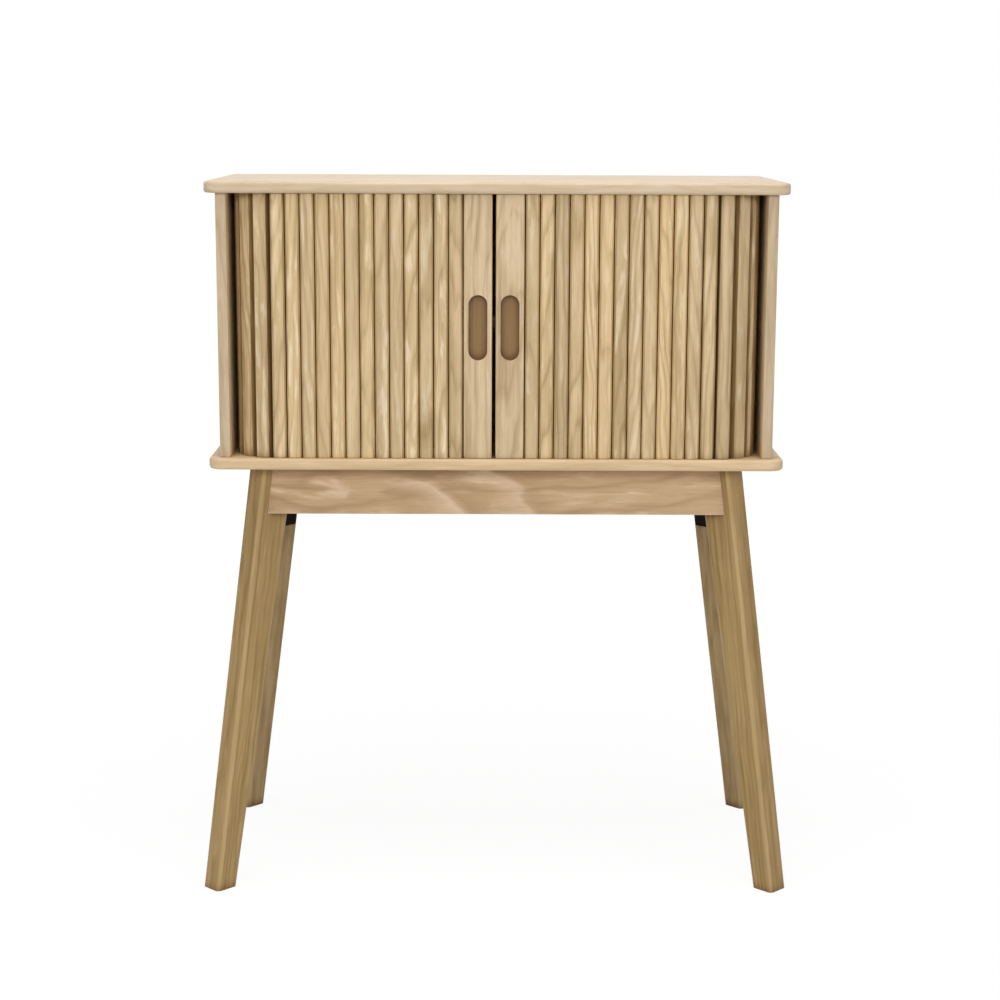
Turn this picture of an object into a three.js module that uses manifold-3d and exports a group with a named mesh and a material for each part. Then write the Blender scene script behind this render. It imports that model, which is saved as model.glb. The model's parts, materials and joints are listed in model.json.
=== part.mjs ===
// Two-door tambour cabinet on four splayed legs. Millimetres, +Z up, front towards -Y,
// the origin on the floor under the middle of the cabinet.
import * as THREE from "three";
import { mergeVertices } from "three/addons/utils/BufferGeometryUtils.js";
import Module from "manifold-3d";

const wasm = await Module();
wasm.setup();

// Boards and body
const boardWidth = 800;
const boardDepth = 340;
const boardThickness = 16;
const boardCornerRadius = 20;
const boardEdgeRadius = 4;
const height = 1000;
const openingHeight = 364;
const bodyOverhang = 16; // boards past the side panels
const panelThickness = 14;
const panelSetback = 12; // side panel's front edge behind the boards' front
const backSetback = 6;
const backThickness = 8;
const linerThickness = 12;
const linerClearance = 4.5; // inner wall to the backs of the slats beside it
const linerRecess = 4; // inner wall's front edge behind the corner's middle
const shelfThickness = 16;
const shelfSeatHeight = 176; // shelf's underside above the bottom board
const shelfPlay = 0.5;
const cleatWidth = 14;
const cleatHeight = 18;
const cleatFrontInset = 12;

// Tambour doors
const slatCount = 17;
const slatPitch = 20.3;
const slatGap = 1.4;
const slatThickness = 16;
const slatChamferWidth = 2.7; // the slats' front edges, which make the grooves between them
const slatChamferDepth = 3.4;
const leadWidth = 39.3;
const leadThickness = 18;
const leadRounding = 2.6;
const middleGap = 4.8; // between the two lead staves
const meetingShift = -4; // middle of that gap from the cabinet's middle
const doorSetback = 6.5; // slat faces behind the boards' front
const runRadius = 42; // slat backs round the corner
const sideRunClearance = 6.5; // slat faces to the side panel
const endPlay = 0.4; // slat ends to the boards
const fingerWidth = 26;
const fingerHeight = 90;
const fingerDepth = 10;
const fingerLift = 0; // finger slot's middle above the opening's middle
const pinRadius = 2; // round pins on the slats' ends, which run in the grooves
const pinLength = 4;
const pinInset = 5; // pin's middle in front of the slat's back
const grooveDepth = 5;
const grooveWidth = 16.8;
const grooveShift = 1.4; // groove's middle behind the pins
const grooveEndRoom = 10;
const doorTravelPitches = 5;

// Legs and frame
const legWidth = 35; // across the leg's outer face
const legDepthTop = 57; // from the outer face to the inner one
const legDepthFoot = 35;
const legEdgeRadius = 6.5;
const legInsetAcross = 62.4; // top of the outer face, from the board's end
const legInsetDepth = 49.5;
const legRunAcross = 68.9; // how far a foot stands out from the top of its leg
const legRunDepth = 72.5;
const apronHeight = 69;
const apronThickness = 18;
const apronStep = 10.5; // apron's outer face behind the leg's outer corner
const jointGap = 0.3;
const bracketThickness = 2;
const bracketWing = 30; // length along each apron
const bracketRise = 5; // wings inside the apron's edges
const bracketStep = 0.2; // wings and tongue behind the plate's faces
const tongueWidth = 23; // the bracket's tongue down the leg's inner face
const tongueReach = 62; // below the apron

// Fineness of the round forms
const boardCornerSegments = 8;
const boardEdgeSegments = 4;
const grooveSegments = 10;
const leadEdgeSegments = 4;
const pinSides = 12;
const fingerSegments = 12;
const legEdgeSegments = 5;
const samePoint = 1e-6;

// Levels and places that follow
const topUnderside = height - boardThickness;
const floorTop = topUnderside - openingHeight;
const legTop = floorTop - boardThickness;
const frontY = -boardDepth / 2;
const backY = boardDepth / 2;
const panelOuter = boardWidth / 2 - bodyOverhang;
const panelInner = panelOuter - panelThickness;
const backFace = backY - backSetback - backThickness;
const slatBackY = frontY + doorSetback + slatThickness;
const cornerX = panelInner - sideRunClearance - slatThickness - runRadius;
const cornerY = slatBackY + runRadius;
const linerOuter = cornerX + runRadius - linerClearance;
const linerInner = linerOuter - linerThickness;
const linerFront = cornerY + linerRecess;
const leadInner = middleGap / 2;
const leadOuter = leadInner + leadWidth;
const doorTravel = doorTravelPitches * slatPitch;

const tones = {
  boards: 0xdcc49c,
  staves: 0xd8ba92,
  slats: 0xcaab82,
  panels: 0xcdb088,
  inside: 0xc9b08c,
  frame: 0xbf9b70,
  legs: 0xa8855a,
  metal: 0x17130f,
};

const cabinet = new THREE.Group();

function addMesh(name, geometry, tone, roughness = 0.62, metalness = 0) {
  const material = new THREE.MeshStandardMaterial({ color: tone, roughness, metalness });
  const mesh = new THREE.Mesh(geometry, material);
  mesh.name = name;
  cabinet.add(mesh);
  return mesh;
}

// Solids
function toSolid(geometry) {
  const bare = geometry.index ? geometry.toNonIndexed() : geometry.clone();
  bare.deleteAttribute("normal");
  bare.deleteAttribute("uv");
  const merged = mergeVertices(bare, 1e-4);
  return new wasm.Manifold(new wasm.Mesh({
    numProp: 3,
    vertProperties: new Float32Array(merged.attributes.position.array),
    triVerts: new Uint32Array(merged.index.array),
  }));
}

function toGeometry(solid) {
  const mesh = solid.getMesh();
  const geometry = new THREE.BufferGeometry();
  const positions = new Float32Array(mesh.vertProperties);
  geometry.setAttribute("position", new THREE.BufferAttribute(positions, 3));
  geometry.setIndex(new THREE.BufferAttribute(new Uint32Array(mesh.triVerts), 1));
  const flat = geometry.toNonIndexed();
  flat.computeVertexNormals();
  return flat;
}

function box(width, depth, tall) {
  return new THREE.BoxGeometry(width, depth, tall);
}

function prism(shape, tall, curveSegments) {
  return new THREE.ExtrudeGeometry(shape, { depth: tall, bevelEnabled: false, curveSegments });
}

// A solid between two outlines with the same number of points, one at each level
function prismoid(lowPoints, highPoints, lowZ, highZ) {
  const count = lowPoints.length;
  const flatPoints = lowPoints.map(([x, y]) => new THREE.Vector2(x, y));
  const caps = THREE.ShapeUtils.triangulateShape(flatPoints, []);
  const positions = [];
  lowPoints.forEach(([x, y]) => positions.push(x, y, lowZ));
  highPoints.forEach(([x, y]) => positions.push(x, y, highZ));
  const indices = [];
  const turn = THREE.ShapeUtils.isClockWise(flatPoints);
  const face = (a, b, c) => (turn ? indices.push(a, c, b) : indices.push(a, b, c));
  for (const [a, b, c] of caps) {
    const ordered = (flatPoints[b].x - flatPoints[a].x) * (flatPoints[c].y - flatPoints[a].y)
      - (flatPoints[b].y - flatPoints[a].y) * (flatPoints[c].x - flatPoints[a].x) > 0;
    const [p, q, r] = ordered ? [a, b, c] : [a, c, b];
    indices.push(p, r, q, p + count, q + count, r + count);
  }
  for (let i = 0; i < count; i += 1) {
    const j = (i + 1) % count;
    face(i, j, j + count);
    face(i, j + count, i + count);
  }
  const geometry = new THREE.BufferGeometry();
  geometry.setAttribute("position", new THREE.Float32BufferAttribute(positions, 3));
  geometry.setIndex(indices);
  const flat = geometry.toNonIndexed();
  flat.computeVertexNormals();
  return flat;
}

function roundedRectangle(width, depth, radius) {
  const x = width / 2;
  const y = depth / 2;
  const shape = new THREE.Shape();
  shape.moveTo(x, -y + radius);
  shape.absarc(x - radius, y - radius, radius, 0, Math.PI / 2, false);
  shape.absarc(-x + radius, y - radius, radius, Math.PI / 2, Math.PI, false);
  shape.absarc(-x + radius, -y + radius, radius, Math.PI, Math.PI * 1.5, false);
  shape.absarc(x - radius, -y + radius, radius, Math.PI * 1.5, Math.PI * 2, false);
  return shape;
}

// The tambour run, measured along the backs of the slats from the cabinet's middle
const cornerLength = runRadius * Math.PI / 2;

function runPlace(distance) {
  if (distance <= cornerX) {
    return { x: distance, y: slatBackY, turn: 0 };
  }
  const turn = (distance - cornerX) / runRadius;
  if (turn <= Math.PI / 2) {
    return {
      x: cornerX + runRadius * Math.sin(turn),
      y: cornerY - runRadius * Math.cos(turn),
      turn,
    };
  }
  return { x: cornerX + runRadius, y: cornerY + distance - cornerX - cornerLength, turn: Math.PI / 2 };
}

function slatDistance(sign, number) {
  return leadOuter + sign * meetingShift + slatGap / 2 + slatPitch * (number - 0.5);
}

// Boards, each with the guide groove that the slats' pins run in
const grooveMiddle = runRadius + pinInset - grooveShift;
const farthestRun = Math.max(slatDistance(-1, slatCount), slatDistance(1, slatCount)) + doorTravel;
const grooveEnd = runPlace(farthestRun).y + pinRadius + grooveEndRoom;

function grooveShape() {
  const outer = grooveMiddle + grooveWidth / 2;
  const inner = grooveMiddle - grooveWidth / 2;
  const shape = new THREE.Shape();
  shape.moveTo(-cornerX, cornerY - outer);
  shape.lineTo(cornerX, cornerY - outer);
  shape.absarc(cornerX, cornerY, outer, -Math.PI / 2, 0, false);
  shape.lineTo(cornerX + outer, grooveEnd);
  shape.lineTo(cornerX + inner, grooveEnd);
  shape.lineTo(cornerX + inner, cornerY);
  shape.absarc(cornerX, cornerY, inner, 0, -Math.PI / 2, true);
  shape.lineTo(-cornerX, cornerY - inner);
  shape.absarc(-cornerX, cornerY, inner, -Math.PI / 2, -Math.PI, true);
  shape.lineTo(-cornerX - inner, grooveEnd);
  shape.lineTo(-cornerX - outer, grooveEnd);
  shape.lineTo(-cornerX - outer, cornerY);
  shape.absarc(-cornerX, cornerY, outer, Math.PI, Math.PI * 1.5, false);
  return shape;
}

function boardGeometry(grooveFloor) {
  const blank = new THREE.ExtrudeGeometry(
    roundedRectangle(
      boardWidth - 2 * boardEdgeRadius,
      boardDepth - 2 * boardEdgeRadius,
      boardCornerRadius - boardEdgeRadius,
    ),
    {
      depth: boardThickness - 2 * boardEdgeRadius,
      bevelThickness: boardEdgeRadius,
      bevelSize: boardEdgeRadius,
      bevelSegments: boardEdgeSegments,
      curveSegments: boardCornerSegments,
    },
  );
  blank.translate(0, 0, boardEdgeRadius);
  const cut = prism(grooveShape(), grooveDepth * 2, grooveSegments);
  cut.translate(0, 0, grooveFloor);
  return toGeometry(toSolid(blank).subtract(toSolid(cut)));
}

addMesh("bottom_board", boardGeometry(boardThickness - grooveDepth), tones.boards)
  .position.set(0, 0, legTop);
addMesh("top_board", boardGeometry(-grooveDepth), tones.boards)
  .position.set(0, 0, topUnderside);

// Body
const panelFront = frontY + panelSetback;
const panelBack = backY - backSetback;
const bodyMiddleZ = floorTop + openingHeight / 2;
const linerDepth = backFace - linerFront;
const shelfZ = floorTop + shelfSeatHeight;
const cleatDepth = linerDepth - cleatFrontInset;

addMesh("back_panel", box(2 * panelInner, backThickness, openingHeight), tones.inside)
  .position.set(0, backFace + backThickness / 2, bodyMiddleZ);

for (const [side, sign] of [["left", -1], ["right", 1]]) {
  addMesh(`${side}_side_panel`, box(panelThickness, panelBack - panelFront, openingHeight), tones.panels)
    .position.set(sign * (panelInner + panelThickness / 2), (panelFront + panelBack) / 2, bodyMiddleZ);
  addMesh(`${side}_inner_wall`, box(linerThickness, linerDepth, openingHeight), tones.inside)
    .position.set(sign * (linerInner + linerThickness / 2), linerFront + linerDepth / 2, bodyMiddleZ);
  addMesh(`${side}_shelf_cleat`, box(cleatWidth, cleatDepth, cleatHeight), tones.inside)
    .position.set(sign * (linerInner - cleatWidth / 2), backFace - cleatDepth / 2, shelfZ - cleatHeight / 2);
}

addMesh("shelf", box(2 * (linerInner - shelfPlay), linerDepth, shelfThickness), tones.inside)
  .position.set(0, linerFront + linerDepth / 2, shelfZ + shelfThickness / 2);

// Doors
function slatShape() {
  const x = (slatPitch - slatGap) / 2;
  const shape = new THREE.Shape();
  shape.moveTo(x, 0);
  shape.lineTo(-x, 0);
  shape.lineTo(-x, -slatThickness + slatChamferDepth);
  shape.lineTo(-x + slatChamferWidth, -slatThickness);
  shape.lineTo(x - slatChamferWidth, -slatThickness);
  shape.lineTo(x, -slatThickness + slatChamferDepth);
  return shape;
}

function leadShape() {
  const x = leadWidth / 2;
  const frontY = -leadThickness + leadRounding;
  const shape = new THREE.Shape();
  shape.moveTo(x, 0);
  shape.lineTo(-x, 0);
  shape.absarc(-x + leadRounding, frontY, leadRounding, Math.PI, Math.PI * 1.5, false);
  shape.absarc(x - leadRounding, frontY, leadRounding, Math.PI * 1.5, Math.PI * 2, false);
  return shape;
}

function staveSolid(shape, thickness) {
  const tall = openingHeight - 2 * endPlay;
  const blank = prism(shape, tall, leadEdgeSegments);
  blank.translate(0, 0, -tall / 2);
  const pin = new THREE.CylinderGeometry(pinRadius, pinRadius, tall + 2 * pinLength, pinSides);
  pin.rotateX(Math.PI / 2);
  pin.translate(0, -pinInset - (thickness - slatThickness), 0);
  return toSolid(blank).add(toSolid(pin));
}

function stadium(width, tall) {
  const radius = width / 2;
  const half = tall / 2 - radius;
  const shape = new THREE.Shape();
  shape.moveTo(radius, -half);
  shape.absarc(0, half, radius, 0, Math.PI, false);
  shape.absarc(0, -half, radius, Math.PI, Math.PI * 2, false);
  return shape;
}

function leadGeometry() {
  const recess = prism(stadium(fingerWidth, fingerHeight), fingerDepth * 2, fingerSegments);
  recess.rotateX(Math.PI / 2);
  recess.translate(0, fingerDepth - leadThickness, fingerLift);
  return toGeometry(staveSolid(leadShape(), leadThickness).subtract(toSolid(recess)));
}

const slatGeometry = toGeometry(staveSolid(slatShape(), slatThickness));
const leadBackShift = leadThickness - slatThickness;

for (const [side, sign] of [["left", -1], ["right", 1]]) {
  addMesh(`${side}_lead_stave`, leadGeometry(), tones.staves)
    .position.set(meetingShift + sign * (leadInner + leadWidth / 2), slatBackY + leadBackShift, bodyMiddleZ);
  for (let number = 1; number <= slatCount; number += 1) {
    const place = runPlace(slatDistance(sign, number));
    const name = `${side}_slat_${String(number).padStart(2, "0")}`;
    const slat = addMesh(name, slatGeometry.clone(), tones.slats);
    slat.position.set(sign * place.x, place.y, bodyMiddleZ);
    slat.rotation.z = sign * place.turn;
  }
}

// Legs: set diagonally, leaning outwards both ways, their inner faces tapering to the foot.
// Outlines are written for the back right leg, and signs turn them into the others.
const diagonal = Math.SQRT1_2;

function outerMiddle(z) {
  const drop = 1 - z / legTop;
  return [
    boardWidth / 2 - legInsetAcross + legRunAcross * drop,
    boardDepth / 2 - legInsetDepth + legRunDepth * drop,
  ];
}

function legDepth(z) {
  return legDepthFoot + (legDepthTop - legDepthFoot) * (z / legTop);
}

// A point of a leg's own plan: inwards from its outer face, and along that face
function legPoint(inward, along, z) {
  const [x, y] = outerMiddle(z);
  return [x - (inward - along) * diagonal, y - (inward + along) * diagonal];
}

function legOutline(z) {
  const shape = new THREE.Shape();
  const depth = legDepth(z);
  const half = legWidth / 2;
  const r = legEdgeRadius;
  shape.moveTo(depth, -half + r);
  shape.absarc(depth - r, half - r, r, 0, Math.PI / 2, false);
  shape.absarc(r, half - r, r, Math.PI / 2, Math.PI, false);
  shape.absarc(r, -half + r, r, Math.PI, Math.PI * 1.5, false);
  shape.absarc(depth - r, -half + r, r, Math.PI * 1.5, Math.PI * 2, false);
  const points = shape.extractPoints(legEdgeSegments).shape;
  const closed = points[0].distanceTo(points[points.length - 1]) < samePoint ? points.slice(0, -1) : points;
  return closed.map(({ x, y }) => legPoint(x, y, z));
}

// Aprons: their ends lie on the faces of the legs, and their faces lean with the legs
function apronFaces(z) {
  const [cornerAcross] = legPoint(0, legWidth / 2, z);
  const [, cornerDeep] = legPoint(0, -legWidth / 2, z);
  return {
    across: cornerAcross - apronStep,
    deep: cornerDeep - apronStep,
    innerAcross: cornerAcross - apronStep - apronThickness,
    innerDeep: cornerDeep - apronStep - apronThickness,
  };
}

function longApronOutline(z) {
  const { deep, innerDeep } = apronFaces(z);
  const [cornerX1, cornerY1] = legPoint(0, -legWidth / 2, z);
  const end = (y) => cornerX1 - (cornerY1 - y) - jointGap / diagonal;
  return [[-end(deep), deep], [end(deep), deep], [end(innerDeep), innerDeep], [-end(innerDeep), innerDeep]];
}

function sideApronOutline(z) {
  const { across, innerAcross } = apronFaces(z);
  const [cornerX1, cornerY1] = legPoint(0, legWidth / 2, z);
  const end = (x) => cornerY1 - (cornerX1 - x) - jointGap / diagonal;
  return [
    [across, -end(across)],
    [across, end(across)],
    [innerAcross, end(innerAcross)],
    [innerAcross, -end(innerAcross)],
  ];
}

// Brackets: a plate across the corner behind the leg, a wing along each apron, and a tongue down
// the leg's inner face
function bracketPlaces(z) {
  const { innerAcross, innerDeep } = apronFaces(z);
  const [faceX, faceY] = legPoint(legDepth(z) + jointGap, 0, z);
  const near = faceX + faceY;
  const far = near - bracketThickness / diagonal;
  return { x: innerAcross - jointGap, y: innerDeep - jointGap, near, far };
}

function plateOutline(z) {
  const { x, y, near, far } = bracketPlaces(z);
  return [[x, near - x], [x, far - x], [far - y, y], [near - y, y]];
}

function longWingOutline(z) {
  const { y, near } = bracketPlaces(z);
  const start = near - y - bracketStep;
  const outer = y - bracketStep;
  const inner = y - bracketThickness;
  return [[start, outer], [start, inner], [start - bracketWing, inner], [start - bracketWing, outer]];
}

function sideWingOutline(z) {
  const { x, near } = bracketPlaces(z);
  const start = near - x - bracketStep;
  const outer = x - bracketStep;
  const inner = x - bracketThickness;
  return [[outer, start], [outer, start - bracketWing], [inner, start - bracketWing], [inner, start]];
}

function tongueOutline(z) {
  const low = legDepth(z) + jointGap + bracketStep;
  const high = low + bracketThickness - 2 * bracketStep;
  const half = tongueWidth / 2;
  return [legPoint(low, -half, z), legPoint(low, half, z), legPoint(high, half, z), legPoint(high, -half, z)];
}

function slanted(outline, signX, signY, low, high) {
  const at = (z) => outline(z).map(([x, y]) => [signX * x, signY * y]);
  return prismoid(at(low), at(high), low, high);
}

const apronLow = legTop - apronHeight;
const bracketLow = apronLow + bracketRise;
const bracketHigh = legTop - bracketRise;

function bracketGeometry(signX, signY) {
  const tongue = slanted(tongueOutline, signX, signY, apronLow - tongueReach, bracketHigh);
  return toGeometry([plateOutline, longWingOutline, sideWingOutline].reduce(
    (solid, outline) => solid.add(toSolid(slanted(outline, signX, signY, bracketLow, bracketHigh))),
    toSolid(tongue),
  ));
}

for (const [place, signX, signY] of [
  ["front_left", -1, -1], ["front_right", 1, -1], ["back_left", -1, 1], ["back_right", 1, 1],
]) {
  addMesh(`${place}_leg`, slanted(legOutline, signX, signY, 0, legTop), tones.legs);
  addMesh(`${place}_leg_bracket`, bracketGeometry(signX, signY), tones.metal, 0.5, 0.6);
}
for (const [place, sign] of [["front", -1], ["back", 1]]) {
  addMesh(`${place}_apron`, slanted(longApronOutline, 1, sign, apronLow, legTop), tones.frame);
}
for (const [place, sign] of [["left", -1], ["right", 1]]) {
  addMesh(`${place}_apron`, slanted(sideApronOutline, sign, 1, apronLow, legTop), tones.frame);
}

export default cabinet;
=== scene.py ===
"""Two-door tambour cabinet on splayed legs: wood finishes and door canvas around the CAD frame.

Lengths are in metres, angles in radians unless a name says degrees, and colours are linear.
"""
import json
import math
import random
from typing import NamedTuple

import bpy
from mathutils import Matrix, Vector


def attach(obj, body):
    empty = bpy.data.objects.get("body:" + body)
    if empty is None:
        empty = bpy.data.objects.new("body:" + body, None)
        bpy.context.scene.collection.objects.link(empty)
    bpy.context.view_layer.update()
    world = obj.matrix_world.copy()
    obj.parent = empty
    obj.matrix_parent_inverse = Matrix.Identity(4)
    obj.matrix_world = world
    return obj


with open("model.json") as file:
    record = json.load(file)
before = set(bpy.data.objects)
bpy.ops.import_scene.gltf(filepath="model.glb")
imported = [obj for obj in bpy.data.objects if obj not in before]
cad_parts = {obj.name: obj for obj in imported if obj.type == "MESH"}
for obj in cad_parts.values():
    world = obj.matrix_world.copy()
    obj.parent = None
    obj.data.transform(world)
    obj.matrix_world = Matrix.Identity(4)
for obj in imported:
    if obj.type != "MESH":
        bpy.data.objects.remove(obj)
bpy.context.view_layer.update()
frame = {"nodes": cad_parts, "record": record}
nodes = frame["nodes"]
bodies = frame["record"]["behaviour"]["bodies"]
body_of_node = {node: body for body, members in bodies.items() for node in members}

scene = bpy.context.scene
scene.view_settings.view_transform = "Standard"

UP = (0, 0, 1)
WIDE = (1, 0, 0)
DEEP = (0, 1, 0)
WHITE = (1, 1, 1, 1)

# Camera, at the photograph's viewing angle
PHOTO_SIZE = 1000
FOCAL_PIXELS = 2062.5
SENSOR_MILLIMETRES = 36.0
CAMERA_FAR = 60
CAMERA_PLACE = Vector((-0.0068, -2.990, 1.0936))
CAMERA_PITCH = 0.1860
CAMERA_YAW = 0.0043
CAMERA_ROLL = 0.0042

# Lamps: place, point aimed at, width and height, watts. The back lamp is below the top board's plane.
WORLD_LEVEL = 0.34
LAMPS = {
    "key_lamp": ((-0.1, -3.0, 1.85), (0, 0, 0.55), (3.6, 0.5), 29.0),
    "front_lamp": ((0.1, -3.2, 1.2), (0, 0, 0.7), (3.0, 1.2), 8.5),
    "top_lamp": ((0.0, -0.4, 2.7), (0, 0, 0.9), (2.0, 1.4), 34.0),
    "right_lamp": ((2.4, -1.7, 1.2), (0, 0, 0.6), (1.6, 1.6), 9.0),
    "left_lamp": ((-2.4, -1.7, 1.2), (0, 0, 0.6), (1.6, 1.6), 9.0),
    "back_lamp": ((0.0, 2.8, 0.55), (0, 0, 0.62), (3.2, 0.8), 18.0),
}

# Floor, with the share of glow beside the object and the distances over which it grows to all
FLOOR_SIZE = 40
FLOOR_DROP = 0.0005
FLOOR_COLOURS = ((0.85, 0.85, 0.85), (0.87, 0.87, 0.87))
FLOOR_MOTTLE_SCALE = (6, 6, 6)
FLOOR_GLOW = 0.88
GLOW_STRENGTH = 1.04
GLOW_NEAR = 0.6
GLOW_FAR = 2.4

# Finishes: colours of the pale wood, the deep wood and the palest flecks
FINISHES = {
    "boards": ((0.66, 0.50, 0.315), (0.52, 0.37, 0.20), (0.74, 0.60, 0.42)),
    "staves": ((0.64, 0.485, 0.30), (0.42, 0.29, 0.15), (0.73, 0.59, 0.41)),
    "slats": ((0.67, 0.50, 0.285), (0.40, 0.275, 0.128), (0.80, 0.66, 0.46)),
    "panels": ((0.56, 0.43, 0.285), (0.43, 0.32, 0.19), (0.64, 0.51, 0.36)),
    "aprons": ((0.59, 0.41, 0.235), (0.39, 0.25, 0.125), (0.74, 0.57, 0.39)),
    "legs": ((0.400, 0.264, 0.104), (0.262, 0.162, 0.052), (0.55, 0.40, 0.20)),
    # Painted light and shade: the back legs get a paler, greyer copy of the leg finish, for how they look
    # behind the front legs
    "back_legs_shaded_copy": ((0.42, 0.293, 0.136), (0.28, 0.183, 0.076), (0.50, 0.368, 0.19)),
    "inside": ((0.58, 0.44, 0.28), (0.46, 0.33, 0.18), (0.66, 0.53, 0.37)),
}

# Noise of the wood: waves per metre across, into and along the grain
DRIFT_SCALE = (30, 30, 5.5)
FIBRE_SCALE = (620, 620, 9)
BAND_SCALE = (110, 110, 3.2)
PORE_SCALE = (1500, 1500, 38)
GRAIN_SHIFT = 3

# Where pores, flecks, the face with painted light and the painted highlight on the legs' edges begin and are
# full
PORE_STEP = (0.56, 0.70)
FLECK_STEP = (0.46, 0.64)
PAINTED_LIGHT_STEP = (0.6, 0.9)
LEG_HIGHLIGHT_STEP = (0.80, 0.97)

# Growth rings: place of the heart, and stops of the dark late wood and the pale early wood over a ring
HEART_ACROSS = (-0.012, 0.012)
HEART_DEPTH = (0.012, 0.045)
WAVE_GAIN = 5
LATE_WOOD = ((0.0, 0.15), (0.30, 0.0), (0.62, 0.30), (0.86, 1.0), (0.97, 0.35))
EARLY_WOOD = ((0.10, 0.1), (0.30, 1.0), (0.52, 1.0), (0.72, 0.1))

# Shares that the parts of the figure have in the wood's colour
LATE_BASE = 0.22
LATE_SHARE = 0.62
FIBRE_SHARE = 0.9
PATCH_SHARE = 1.3
BAND_SHARE = 3.2
PORE_SHARE = 0.28
PORE_DARKNESS = 0.62
WORN_SHARE = 0.55
# Painted highlight: the share of the palest colour on the legs' rounded edges
LEG_HIGHLIGHT_SHARE = 0.38
# Painted light: how much the face that looks the given way is brightened
PAINTED_LIGHT_GAIN = (1.55, 1.52, 1.40)
LATE_ROUGHNESS = 0.14

# Arches in the front apron's figure: middle across and in height, and stops of their crests and troughs
ARCH_MIDDLE = (-0.165, 0.532)
ARCH_STEEPNESS = 2.0
ARCH_SPACING = 0.098
ARCH_DRIFT = 0.06
ARCH_FADE = (0.28, 0.28 * 0.6)
ARCH_START = (0.01, 0.07)
ARCH_CREST = ((0.05, 0.0), (0.28, 0.45), (0.41, 1.0), (0.50, 0.0))
ARCH_TROUGH = ((0.46, 0.0), (0.60, 1.0), (0.82, 0.6), (1.0, 0.0))
ARCH_CREST_SHARE = 0.75
ARCH_TROUGH_SHARE = 0.65

# Finger slots of the lead staves
SLOT_MIDDLES = {"left": -0.02605, "right": 0.01805}
SLOT_HALF_WIDTH = 0.0136
SLOT_HALF_HEIGHT = 0.0457
SLOT_MIDDLE_HEIGHT = 0.802
SLOT_FACE = -0.1635
SLOT_FLOOR = -0.1535
SLOT_EDGE = (0.0004, 0.0030)
SLOT_FLOOR_MARGIN = 0.0010
SLOT_COLOUR = (0.29, 0.168, 0.066)
SLOT_PALE = 1.25
SLOT_DEEP = 0.72

# Slats of one door, counted from its lead stave
LAST_RIGID_SLAT = 8
LAST_STRAIGHT_SLAT = 12
SLAT_COUNT = 17
SLAT_SEEDS = {"left": 100, "right": 200}

# Legs: how far they lean, across and in depth, for each metre of height
LEG_LEAN = (0.114, 0.120)

# Brackets and canvas: colours, and the size and place of the canvas behind the slats. The canvas's dark
# browns also stand as painted shade in the gaps between the slats.
PAINT_COLOURS = ((0.0060, 0.0020, 0.0015), (0.011, 0.006, 0.005))
RUBBED_PAINT_COLOUR = (0.05, 0.04, 0.035)
CLOTH_COLOURS = ((0.10, 0.060, 0.018), (0.15, 0.092, 0.030))
CLOTH_THREAD_COLOUR = (0.23, 0.150, 0.058)
CANVAS_THICKNESS = 0.0006
CANVAS_GAP = 0.00002
CANVAS_SIDE_MARGIN = 0.0009
CANVAS_LOW = 0.632
CANVAS_HIGH = 0.972
CANVAS_COLUMN = 0.004
CANVAS_ROWS = 40
FLATNESS = 0.00005

# Edges: widths of the softly broken ones, and the angles from which an edge is broken or shaded sharp
PANEL_BEVEL = 0.0010
BACK_BEVEL = 0.0008
APRON_BEVEL = 0.0016
SLAT_BEVEL = 0.0007
STAVE_BEVEL = 0.0004
BEVEL_DEGREES = 40
SHARP_DEGREES = 33


class Look(NamedTuple):
    """How the wood of one piece is drawn."""

    ring: float = 0.0055  # width of a growth ring
    wave: float = 0.006  # how far the rings wander
    tilt: float = 0.06  # the most that the rings' heart leans from the grain
    contrast: float = 1.0  # of late wood, fibres, patches and pores
    streak: float = 0.5  # of the narrow bands along the grain
    fleck: float = 0.35  # of the pale ripples in the early wood
    patch_scale: tuple = (24, 24, 5)
    ripple_scale: tuple = (95, 95, 17)
    tint: tuple = (1, 1, 1)
    roughness: float = 0.46
    specular: float = 0.35
    crevice: tuple = (0.012, 0.30, 0.95)  # reach of the painted shade in corners, openness where it is full and gone
    painted_shade: tuple = (0.52, 0.41, 0.27)  # painted shade: what the colour is multiplied by in corners
    arches: tuple = None  # middle, across and in height, of wide arches on an apron's face
    painted_edge_highlight: bool = False  # painted highlight along the rounded edges, for legs that are set diagonally
    painted_light_face: tuple = None  # direction of a face that is painted paler, as painted light on it
    slot: float = None  # middle, across, of a milled finger slot


BOARD_LOOK = Look(ring=0.016, wave=0.010, fleck=0.3)
APRON_LOOK = Look(wave=0.016, fleck=0.75, streak=0.15, crevice=(0.016, 0.40, 1.0),
                  patch_scale=(16, 16, 7), ripple_scale=(38, 38, 11))
STAVE_LOOK = Look(ring=0.014, wave=0.009, contrast=0.8, streak=0.8, tilt=0.12)
STRAIGHT_SLAT_LOOK = Look(tilt=0.13, crevice=(0.012, 0.30, 0.95), painted_shade=(0.80, 0.70, 0.50))
# Slats on the door's curve get stronger painted shade, darker towards the gaps between them
TURNED_SLAT_LOOK = Look(tilt=0.13, crevice=(0.016, 0.42, 0.98), painted_shade=(0.52, 0.42, 0.25))
LEG_LOOK = Look(ring=0.007, wave=0.005, contrast=0.8, tilt=0.03, streak=0.6, fleck=0.25,
                painted_edge_highlight=True, crevice=(0.016, 0.40, 1.0))


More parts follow.
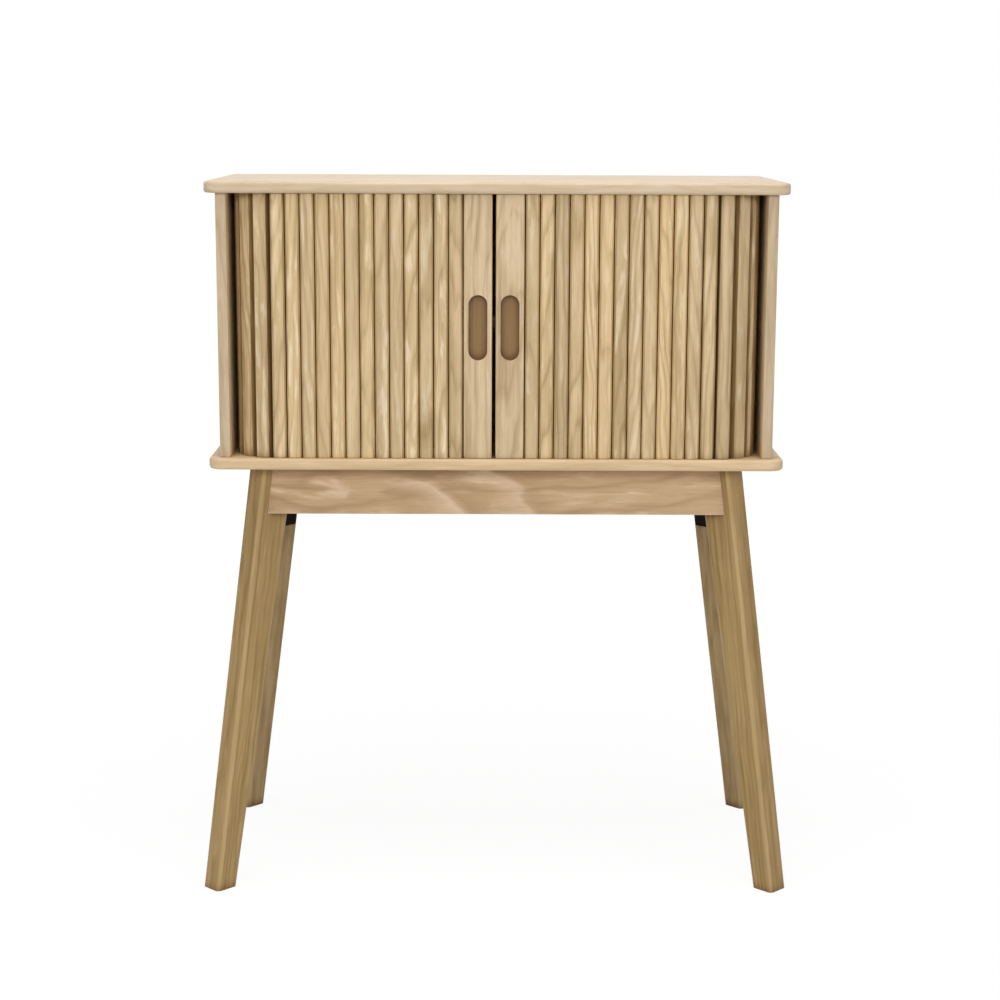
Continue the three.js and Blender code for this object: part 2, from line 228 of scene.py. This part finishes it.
def place_camera():
    pitch, yaw, roll = CAMERA_PITCH, CAMERA_YAW, CAMERA_ROLL
    forward = Vector((math.sin(yaw) * math.cos(pitch), math.cos(yaw) * math.cos(pitch), -math.sin(pitch)))
    level_right = Vector((math.cos(yaw), -math.sin(yaw), 0))
    level_up = level_right.cross(forward)
    right = math.cos(roll) * level_right + math.sin(roll) * level_up
    up = right.cross(forward)
    data = bpy.data.cameras.new("photo_camera")
    data.sensor_width = SENSOR_MILLIMETRES
    data.lens = FOCAL_PIXELS / PHOTO_SIZE * data.sensor_width
    data.clip_end = CAMERA_FAR
    camera = bpy.data.objects.new("photo_camera", data)
    camera.matrix_world = Matrix((
        (right.x, up.x, -forward.x, CAMERA_PLACE.x),
        (right.y, up.y, -forward.y, CAMERA_PLACE.y),
        (right.z, up.z, -forward.z, CAMERA_PLACE.z),
        (0, 0, 0, 1),
    ))
    scene.collection.objects.link(camera)
    scene.camera = camera


class Tree:
    """Short ways to add and join shader nodes."""

    def __init__(self, owner):
        owner.use_nodes = True
        self.nodes = owner.node_tree.nodes
        self.links = owner.node_tree.links
        self.nodes.clear()

    def add(self, kind, **settings):
        node = self.nodes.new(kind)
        for name, value in settings.items():
            setattr(node, name, value)
        return node

    def feed(self, socket, value):
        if isinstance(value, bpy.types.NodeSocket):
            self.links.new(value, socket)
        else:
            socket.default_value = value

    def place(self):
        return self.add("ShaderNodeTexCoord").outputs["Object"]

    def normal(self):
        return self.add("ShaderNodeNewGeometry").outputs["Normal"]

    def math(self, operation, a, b=0.0, clamp=False):
        node = self.add("ShaderNodeMath", operation=operation, use_clamp=clamp)
        self.feed(node.inputs[0], a)
        self.feed(node.inputs[1], b)
        return node.outputs[0]

    def times(self, a, b):
        return self.math("MULTIPLY", a, b)

    def line(self, value, slope, start):
        return self.math("ADD", self.times(value, slope), start)

    def swing(self, value, share):
        """Either side of 0, for a value either side of a half."""
        return self.times(self.math("SUBTRACT", value, 0.5), share)

    def vector(self, operation, a, b=(0, 0, 0)):
        node = self.add("ShaderNodeVectorMath", operation=operation)
        self.feed(node.inputs[0], a)
        self.feed(node.inputs[1], b)
        return node.outputs["Value" if operation in ("LENGTH", "DOT_PRODUCT") else "Vector"]

    def join(self, x, y, z=0.0):
        node = self.add("ShaderNodeCombineXYZ")
        for socket, value in zip(node.inputs, (x, y, z)):
            self.feed(socket, value)
        return node.outputs[0]

    def split(self, value):
        node = self.add("ShaderNodeSeparateXYZ")
        self.feed(node.inputs[0], value)
        return tuple(node.outputs)

    def noise(self, place, scale, detail, roughness=0.5, distortion=0.0):
        """Noise stretched by the three values of scale."""
        node = self.add("ShaderNodeTexNoise")
        self.feed(node.inputs["Vector"], self.vector("MULTIPLY", place, scale))
        node.inputs["Scale"].default_value = 1.0
        node.inputs["Detail"].default_value = detail
        node.inputs["Roughness"].default_value = roughness
        node.inputs["Distortion"].default_value = distortion
        return node.outputs["Fac"]

    def step(self, value, low, high):
        """Smoothly from 0 at low to 1 at high; low may be the larger."""
        node = self.add("ShaderNodeMapRange", interpolation_type="SMOOTHSTEP")
        self.feed(node.inputs["Value"], value)
        flipped = low > high
        node.inputs["From Min"].default_value = high if flipped else low
        node.inputs["From Max"].default_value = low if flipped else high
        node.inputs["To Min"].default_value = 1.0 if flipped else 0.0
        node.inputs["To Max"].default_value = 0.0 if flipped else 1.0
        return node.outputs["Result"]

    def ramp(self, value, stops):
        """Levels of grey at the given positions from 0 to 1."""
        node = self.add("ShaderNodeValToRGB")
        elements = node.color_ramp.elements
        while len(elements) < len(stops):
            elements.new(0.5)
        for element, (position, level) in zip(elements, stops):
            element.position = position
            element.color = (level, level, level, 1)
        self.feed(node.inputs["Fac"], value)
        return node.outputs["Color"]

    def mix(self, factor, a, b, blend="MIX"):
        node = self.add("ShaderNodeMix", data_type="RGBA", blend_type=blend)
        self.feed(node.inputs["Factor"], factor)
        for socket, value in ((node.inputs["A"], a), (node.inputs["B"], b)):
            if isinstance(value, tuple) and len(value) == 3:
                value = (*value, 1)
            self.feed(socket, value)
        return node.outputs["Result"]

    def fade(self, colour, other, mask, share):
        """The colour, with a share of the other where the mask is 1."""
        return self.mix(self.times(mask, share), colour, other)

    def crevice(self, distance):
        """0 in a tight corner, 1 in the open."""
        node = self.add("ShaderNodeAmbientOcclusion", samples=6)
        node.inputs["Distance"].default_value = distance
        return node.outputs["AO"]

    def worn_edge(self, radius, low, high):
        """1 along an outer edge, 0 on a flat face."""
        bevel = self.add("ShaderNodeBevel", samples=4)
        bevel.inputs["Radius"].default_value = radius
        return self.step(self.vector("DOT_PRODUCT", bevel.outputs["Normal"], self.normal()), high, low)

    def bump(self, height, strength, distance):
        node = self.add("ShaderNodeBump")
        node.inputs["Strength"].default_value = strength
        node.inputs["Distance"].default_value = distance
        self.feed(node.inputs["Height"], height)
        return node.outputs["Normal"]

    def surface(self, shader, kind="ShaderNodeOutputMaterial"):
        self.feed(self.add(kind).inputs["Surface"], shader.outputs[0])

    def finish(self, colour, roughness, normal, specular):
        shader = self.add("ShaderNodeBsdfPrincipled")
        self.feed(shader.inputs["Base Color"], colour)
        self.feed(shader.inputs["Roughness"], roughness)
        self.feed(shader.inputs["Normal"], normal)
        shader.inputs["Specular IOR Level"].default_value = specular
        self.surface(shader)


def scaled(colour, factor):
    return tuple(min(1.0, value * factor) for value in colour)


def wood(name, finish, grain, seed, look=Look()):
    """Lacquered flat-sawn oak, with the growth rings round a heart that leans from the piece's long axis."""
    rng = random.Random(seed)
    material = bpy.data.materials.new(name)
    tree = Tree(material)
    place = tree.place()
    parts = [tree.vector("DOT_PRODUCT", place, axis) for axis in grain_axes(grain)]
    shift = tuple(rng.uniform(-GRAIN_SHIFT, GRAIN_SHIFT) for _ in range(3))
    local = tree.vector("ADD", tree.join(*parts), shift)

    drift = tree.noise(local, DRIFT_SCALE, detail=2.0, roughness=0.55)
    turns = ring_turns(tree, parts, drift.node.outputs["Color"], rng, look)
    fibre = tree.noise(local, FIBRE_SCALE, detail=3.0, roughness=0.6)
    patch = tree.noise(local, look.patch_scale, detail=2.0)
    pores = tree.step(tree.noise(local, PORE_SCALE, detail=1.0), *PORE_STEP)
    late = late_share(tree, local, turns, fibre, patch, look)
    ripple = tree.noise(local, look.ripple_scale, detail=3.0, roughness=0.6, distortion=0.5)
    flecks = tree.times(tree.step(ripple, *FLECK_STEP), tree.ramp(turns, EARLY_WOOD))

    pale, deep, palest = (tuple(c * t for c, t in zip(colour, look.tint)) for colour in FINISHES[finish])
    colour = tree.fade(tree.mix(late, pale, deep), palest, flecks, look.fleck)
    if look.arches is not None:
        colour = arched_figure(tree, place, look.arches, drift, colour, deep, palest)
    colour = tree.fade(colour, scaled(deep, PORE_DARKNESS), pores, PORE_SHARE * look.contrast)
    worn = tree.worn_edge(radius=0.0016, low=0.80, high=0.97)
    colour = tree.fade(colour, palest, worn, tree.times(patch, WORN_SHARE))
    # Painted highlight along the legs' rounded edges
    if look.painted_edge_highlight:
        colour = tree.fade(colour, palest, rounded_edge(tree), LEG_HIGHLIGHT_SHARE)
    # Painted light: the face that looks the given way is brightened
    if look.painted_light_face is not None:
        facing = tree.step(tree.vector("DOT_PRODUCT", tree.normal(), look.painted_light_face), *PAINTED_LIGHT_STEP)
        colour = tree.mix(facing, colour, PAINTED_LIGHT_GAIN, "MULTIPLY")
    if look.slot is not None:
        colour = slot_colour(tree, place, look.slot, fibre, colour)
    # Painted shade: the colour is darkened where ambient occlusion finds corners, creases and overhangs
    reach, full, gone = look.crevice
    openness = tree.step(tree.crevice(reach), full, gone)
    colour = tree.mix(openness, tree.mix(1.0, colour, look.painted_shade, "MULTIPLY"), colour)

    height = tree.math("SUBTRACT", tree.times(fibre, 0.5), tree.times(pores, 0.5))
    roughness = tree.line(late, LATE_ROUGHNESS, look.roughness)
    tree.finish(colour, roughness, tree.bump(height, strength=0.35, distance=0.0004), look.specular)
    return material


def grain_axes(grain):
    """Directions across the grain, into the board and along the grain."""
    along = Vector(grain).normalized()
    side = Vector(DEEP) if abs(along.y) < 0.9 else Vector(WIDE)
    across = side.cross(along).normalized()
    return across, along.cross(across), along


def ring_turns(tree, parts, drift, rng, look):
    """From 0 to 1 over each growth ring, round a heart that leans from the grain."""
    heart = (rng.uniform(*HEART_ACROSS), rng.uniform(*HEART_DEPTH) * rng.choice((-1, 1)))
    centre = []
    for part, offset in zip(parts, heart):
        lean = tree.times(parts[2], rng.uniform(-look.tilt, look.tilt))
        centre.append(tree.math("ADD", tree.math("ADD", part, lean), offset))
    reach = look.wave * WAVE_GAIN
    bend = tree.vector("MULTIPLY", tree.vector("SUBTRACT", drift, (0.5, 0.5, 0.5)), (reach, reach, 0))
    radius = tree.vector("LENGTH", tree.vector("ADD", tree.join(*centre), bend))
    return tree.math("FRACT", tree.math("DIVIDE", radius, look.ring))


def late_share(tree, local, turns, fibre, patch, look):
    """How far the colour is from the pale to the deep wood."""
    band = tree.noise(local, BAND_SCALE, detail=2.0)
    swing = tree.math("ADD", tree.swing(fibre, FIBRE_SHARE * look.contrast),
                      tree.swing(patch, PATCH_SHARE * look.contrast))
    swing = tree.math("ADD", swing, tree.swing(band, BAND_SHARE * look.streak))
    rings = tree.times(tree.ramp(turns, LATE_WOOD), LATE_SHARE * look.contrast)
    return tree.math("ADD", tree.math("ADD", rings, swing), LATE_BASE, clamp=True)


def arched_figure(tree, place, middle, drift, colour, deep, palest):
    """Pale and deep half arches to the right of a middle, on the face of a board that lies along X."""
    x, _, z = tree.split(place)
    across = tree.math("SUBTRACT", x, middle[0])
    rise = tree.times(tree.math("SUBTRACT", z, middle[1]), ARCH_STEEPNESS)
    out = tree.vector("LENGTH", tree.join(across, rise))
    bent = tree.math("ADD", out, tree.times(drift, ARCH_DRIFT))
    turns = tree.math("FRACT", tree.math("DIVIDE", bent, ARCH_SPACING))
    near = tree.times(tree.step(out, *ARCH_FADE), tree.step(across, *ARCH_START))
    crest = tree.times(tree.ramp(turns, ARCH_CREST), near)
    trough = tree.times(tree.ramp(turns, ARCH_TROUGH), near)
    return tree.fade(tree.fade(colour, palest, crest, ARCH_CREST_SHARE), deep, trough, ARCH_TROUGH_SHARE)


def rounded_edge(tree):
    """1 on the rounded edges of a leg, whose faces are set diagonally, 0 on its faces."""
    x, y, _ = tree.split(tree.normal())
    sideways = tree.math("MAXIMUM", tree.math("ABSOLUTE", x), tree.math("ABSOLUTE", y))
    return tree.step(sideways, *LEG_HIGHLIGHT_STEP)


def slot_colour(tree, place, middle, fibre, colour):
    """Darker colour inside the finger slot, from just behind the front face down to its floor."""
    x, y, z = tree.split(place)
    across = tree.math("ABSOLUTE", tree.math("SUBTRACT", x, middle))
    height = tree.math("ABSOLUTE", tree.math("SUBTRACT", z, SLOT_MIDDLE_HEIGHT))
    inside = tree.times(tree.math("LESS_THAN", across, SLOT_HALF_WIDTH),
                        tree.math("LESS_THAN", height, SLOT_HALF_HEIGHT))
    sunk = tree.step(y, *(SLOT_FACE + depth for depth in SLOT_EDGE))
    before_floor = tree.math("LESS_THAN", y, SLOT_FLOOR + SLOT_FLOOR_MARGIN)
    slot_dark_colour = tree.mix(fibre, scaled(SLOT_COLOUR, SLOT_PALE), scaled(SLOT_COLOUR, SLOT_DEEP))
    return tree.mix(tree.times(tree.times(inside, sunk), before_floor), colour, slot_dark_colour)


def bracket_paint():
    """Black powder coat, rubbed a little along the edges."""
    material = bpy.data.materials.new("black_bracket_paint")
    tree = Tree(material)
    place = tree.place()
    fine = tree.noise(place, (1100, 1100, 1100), detail=2.0, roughness=0.6)
    broad = tree.noise(place, (45, 45, 45), detail=3.0, roughness=0.6)
    worn = tree.worn_edge(radius=0.0006, low=0.80, high=0.95)
    colour = tree.fade(tree.mix(broad, *PAINT_COLOURS), RUBBED_PAINT_COLOUR, worn, tree.times(broad, 0.6))
    bump = tree.bump(fine, strength=0.4, distance=0.0002)
    tree.finish(colour, tree.line(broad, 0.15, 0.58), bump, specular=0.1)
    return material


def canvas_material():
    """Plain-woven backing cloth, coloured dark brown so that it is also painted shade in the gaps between
    the slats.
    """
    material = bpy.data.materials.new("backing_canvas")
    tree = Tree(material)
    place = tree.place()
    threads = []
    for direction in ("DIAGONAL", "Z"):
        wave = tree.add("ShaderNodeTexWave", bands_direction=direction)
        tree.feed(wave.inputs["Vector"], place)
        wave.inputs["Scale"].default_value = 260.0
        wave.inputs["Distortion"].default_value = 0.6
        threads.append(wave.outputs["Fac"])
    weave = tree.times(*threads)
    slub = tree.noise(place, (70, 70, 12), detail=3.0, roughness=0.6)
    colour = tree.mix(weave, tree.mix(slub, *CLOTH_COLOURS), CLOTH_THREAD_COLOUR)
    bump = tree.bump(weave, strength=0.5, distance=0.0003)
    tree.finish(colour, tree.line(weave, 0.08, 0.86), bump, specular=0.1)
    return material


def smooth_group():
    """Shades shallow angles smooth and keeps the sharper ones."""
    group = bpy.data.node_groups.new("smooth_by_angle", "GeometryNodeTree")
    group.interface.new_socket("Geometry", in_out="INPUT", socket_type="NodeSocketGeometry")
    group.interface.new_socket("Geometry", in_out="OUTPUT", socket_type="NodeSocketGeometry")
    start = group.nodes.new("NodeGroupInput")
    end = group.nodes.new("NodeGroupOutput")
    angle = group.nodes.new("GeometryNodeInputMeshEdgeAngle")
    sharp = group.nodes.new("FunctionNodeCompare")
    sharp.data_type = "FLOAT"
    sharp.operation = "GREATER_THAN"
    sharp.inputs[1].default_value = math.radians(SHARP_DEGREES)
    faces = group.nodes.new("GeometryNodeSetShadeSmooth")
    faces.domain = "FACE"
    faces.inputs["Shade Smooth"].default_value = True
    edges = group.nodes.new("GeometryNodeSetShadeSmooth")
    edges.domain = "EDGE"
    edges.inputs["Shade Smooth"].default_value = False
    group.links.new(start.outputs[0], faces.inputs["Geometry"])
    group.links.new(angle.outputs["Unsigned Angle"], sharp.inputs[0])
    group.links.new(sharp.outputs[0], edges.inputs["Selection"])
    group.links.new(faces.outputs[0], edges.inputs["Geometry"])
    group.links.new(edges.outputs[0], end.inputs[0])
    return group


def dress(node, material, bevel=0.0):
    """Gives a CAD node its material, smooth shading and, where bevel is given, softly broken edges."""
    piece = nodes[node]
    piece.data.materials.clear()
    piece.data.materials.append(material)
    if bevel:
        cut = piece.modifiers.new("broken_edge", "BEVEL")
        cut.width = bevel
        cut.segments = 2
        cut.limit_method = "ANGLE"
        cut.angle_limit = math.radians(BEVEL_DEGREES)
    smooth = piece.modifiers.new("smooth", "NODES")
    smooth.node_group = SMOOTH


def dress_cabinet():
    top_look = BOARD_LOOK._replace(contrast=0.55, streak=0.3, roughness=0.35, specular=0.5,
                                   tint=(0.90, 0.93, 0.99))
    bottom_look = BOARD_LOOK._replace(contrast=0.6, streak=0.35, tint=(1.03, 1.0, 0.96))
    dress("top_board", wood("top_wood", "boards", WIDE, 11, top_look))
    dress("bottom_board", wood("bottom_wood", "boards", WIDE, 12, bottom_look))
    for index, (side, inward) in enumerate((("left", 1), ("right", -1))):
        # The inner face of each side panel, beside the door's curve, is brightened as painted light
        panel_look = Look(ring=0.012, wave=0.008, painted_light_face=(inward, 0, 0), crevice=(0.003, 0.30, 0.95))
        panel_wood = wood(f"{side}_panel_wood", "panels", UP, 21 + index, panel_look)
        inner_wood = wood(f"{side}_inner_wood", "inside", UP, 31 + index, Look(ring=0.010))
        cleat_wood = wood(f"{side}_cleat_wood", "inside", DEEP, 41 + index)
        apron_wood = wood(f"{side}_apron_wood", "aprons", DEEP, 51 + index, APRON_LOOK._replace(ring=0.024))
        dress(f"{side}_side_panel", panel_wood, PANEL_BEVEL)
        dress(f"{side}_inner_wall", inner_wood, PANEL_BEVEL)
        dress(f"{side}_shelf_cleat", cleat_wood, PANEL_BEVEL)
        dress(f"{side}_apron", apron_wood, APRON_BEVEL)
    dress("back_panel", wood("back_wood", "inside", UP, 61, Look(ring=0.012, wave=0.012)), BACK_BEVEL)
    dress("shelf", wood("shelf_wood", "inside", WIDE, 62, Look(ring=0.010, wave=0.010)), PANEL_BEVEL)
    front_look = APRON_LOOK._replace(ring=0.034, contrast=0.9, tilt=0.12, arches=ARCH_MIDDLE)
    back_look = APRON_LOOK._replace(ring=0.026)
    dress("front_apron", wood("front_apron_wood", "aprons", WIDE, 64, front_look), APRON_BEVEL)
    dress("back_apron", wood("back_apron_wood", "aprons", WIDE, 65, back_look), APRON_BEVEL)


def slat_look(number, seed):
    """Each slat was cut from a board of its own. The draws stay in this order."""
    rng = random.Random(seed * 7)
    level = rng.uniform(0.90, 1.08)
    warmth = rng.uniform(-0.025, 0.03)
    plain = TURNED_SLAT_LOOK if number > LAST_STRAIGHT_SLAT else STRAIGHT_SLAT_LOOK
    return plain._replace(
        tint=(level * (1 + warmth * 0.5), level, level * (1 - warmth * 1.5)),
        ring=rng.uniform(0.007, 0.015),
        wave=rng.uniform(0.004, 0.009),
        contrast=rng.uniform(0.6, 1.1),
        fleck=rng.uniform(0.15, 0.9),
        streak=rng.uniform(0.2, 0.6),
    )


def dress_doors():
    for side, base in SLAT_SEEDS.items():
        for number in range(1, SLAT_COUNT + 1):
            node = f"{side}_slat_{number:02d}"
            seed = base + number
            dress(node, wood(f"{node}_wood", "slats", UP, seed, slat_look(number, seed)), SLAT_BEVEL)
        stave_look = STAVE_LOOK._replace(slot=SLOT_MIDDLES[side])
        stave_wood = wood(f"{side}_stave_wood", "staves", UP, base * 3 + 1, stave_look)
        dress(f"{side}_lead_stave", stave_wood, STAVE_BEVEL)


def dress_legs():
    metal = bracket_paint()
    for index, place in enumerate(("front_left", "front_right", "back_left", "back_right")):
        sign_x = -1 if "left" in place else 1
        sign_y = -1 if "front" in place else 1
        # The back legs take the paler, greyer copy of the leg finish, painted for their shade
        finish = "legs" if "front" in place else "back_legs_shaded_copy"
        lean = (-sign_x * LEG_LEAN[0], -sign_y * LEG_LEAN[1], 1.0)
        dress(f"{place}_leg", wood(f"{place}_leg_wood", finish, lean, 401 + index, LEG_LOOK))
        dress(f"{place}_leg_bracket", metal)


def back_face(node):
    """Normal, direction across, level, least and most reach of a slat's flat back, its widest face."""
    mesh = nodes[node].data
    back = max(mesh.polygons, key=lambda face: face.area)
    normal = back.normal.copy()
    level = back.center.dot(normal)
    flat = [vertex.co for vertex in mesh.vertices if abs(vertex.co.dot(normal) - level) < FLATNESS]
    across = Vector(UP).cross(normal)
    reach = [corner.dot(across) for corner in flat]
    return normal, across, level, min(reach), max(reach)


def slab(columns, rows, corner_at):
    """Corners and faces of a thin slab. corner_at gives a corner from its side, row and column."""
    corners = [corner_at(side, row, column)
               for side in (0, 1) for row in range(rows + 1) for column in range(columns + 1)]
    layer = (rows + 1) * (columns + 1)
    faces = []
    for row in range(rows):
        for column in range(columns):
            start = row * (columns + 1) + column
            quad = (start, start + 1, start + columns + 2, start + columns + 1)
            faces.append(quad[::-1])
            faces.append(tuple(index + layer for index in quad))
    rim = list(range(columns))
    rim += [row * (columns + 1) + columns for row in range(rows)]
    rim += [rows * (columns + 1) + column for column in range(columns, 0, -1)]
    rim += [row * (columns + 1) for row in range(rows, 0, -1)]
    for here, after in zip(rim, rim[1:] + rim[:1]):
        faces.append((here, after, after + layer, here + layer))
    return corners, faces


def build_strip(name, first, last, cloth):
    """Canvas strip glued across the backs of the slats from first to last, which ride on one body."""
    normal, across, level, low, high = back_face(first)
    other_low, other_high = back_face(last)[3:]
    low, high = min(low, other_low) + CANVAS_SIDE_MARGIN, max(high, other_high) - CANVAS_SIDE_MARGIN
    columns = max(2, round((high - low) / CANVAS_COLUMN))

    def corner_at(side, row, column):
        lift = side * CANVAS_THICKNESS
        point = normal * (level + CANVAS_GAP + lift) + across * (low + (high - low) * column / columns)
        point.z = CANVAS_LOW + (CANVAS_HIGH - CANVAS_LOW) * row / CANVAS_ROWS
        return point

    corners, faces = slab(columns, CANVAS_ROWS, corner_at)
    mesh = bpy.data.meshes.new(name)
    mesh.from_pydata(corners, [], faces)
    mesh.update()
    strip = bpy.data.objects.new(name, mesh)
    scene.collection.objects.link(strip)
    mesh.materials.append(cloth)
    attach(strip, body_of_node[first])


def build_canvas():
    cloth = canvas_material()
    for side in ("left", "right"):
        build_strip(f"{side}_door_canvas", f"{side}_slat_01", f"{side}_slat_{LAST_RIGID_SLAT:02d}", cloth)
        for number in range(LAST_RIGID_SLAT + 1, SLAT_COUNT + 1):
            node = f"{side}_slat_{number:02d}"
            build_strip(f"{side}_canvas_{number:02d}", node, node, cloth)


def add_world():
    """Dim light on the object from all round, seen as white."""
    world = bpy.data.worlds.new("studio")
    scene.world = world
    tree = Tree(world)
    path = tree.add("ShaderNodeLightPath")
    seen = tree.math("MAXIMUM", path.outputs["Is Camera Ray"], path.outputs["Is Transmission Ray"])
    seen = tree.math("MAXIMUM", seen, path.outputs["Is Glossy Ray"])
    sky = tree.add("ShaderNodeBackground")
    sky.inputs["Color"].default_value = WHITE
    tree.feed(sky.inputs["Strength"], tree.line(seen, 1.0 - WORLD_LEVEL, WORLD_LEVEL))
    tree.surface(sky, "ShaderNodeOutputWorld")


def add_lamps():
    for name, (place, aim, size, watts) in LAMPS.items():
        data = bpy.data.lights.new(name, "AREA")
        data.shape = "RECTANGLE"
        data.size, data.size_y = size
        data.energy = watts
        lamp = bpy.data.objects.new(name, data)
        lamp.location = place
        direction = Vector(aim) - Vector(place)
        lamp.rotation_euler = direction.to_track_quat("-Z", "Y").to_euler()
        scene.collection.objects.link(lamp)


def add_floor():
    """Pale floor that goes over into the white background away from the object."""
    bpy.ops.mesh.primitive_plane_add(size=FLOOR_SIZE, location=(0, 0, -FLOOR_DROP))
    floor = bpy.context.active_object
    floor.name = "studio_floor"
    material = bpy.data.materials.new("pale_floor")
    tree = Tree(material)
    path = tree.add("ShaderNodeLightPath")
    place = tree.place()
    mottle = tree.noise(place, FLOOR_MOTTLE_SCALE, detail=3.0)
    diffuse = tree.add("ShaderNodeBsdfDiffuse")
    tree.feed(diffuse.inputs["Color"], tree.mix(mottle, *FLOOR_COLOURS))
    glow = tree.add("ShaderNodeEmission")
    glow.inputs["Color"].default_value = WHITE
    glow.inputs["Strength"].default_value = GLOW_STRENGTH
    far = tree.step(tree.vector("LENGTH", place), GLOW_NEAR, GLOW_FAR)
    level = tree.line(far, 1.0 - FLOOR_GLOW, FLOOR_GLOW)
    mix = tree.add("ShaderNodeMixShader")
    tree.feed(mix.inputs["Fac"], tree.times(path.outputs["Is Camera Ray"], level))
    tree.feed(mix.inputs[1], diffuse.outputs[0])
    tree.feed(mix.inputs[2], glow.outputs[0])
    tree.surface(mix)
    floor.data.materials.append(material)


place_camera()
SMOOTH = smooth_group()
dress_cabinet()
dress_doors()
dress_legs()
build_canvas()
add_world()
add_lamps()
add_floor()
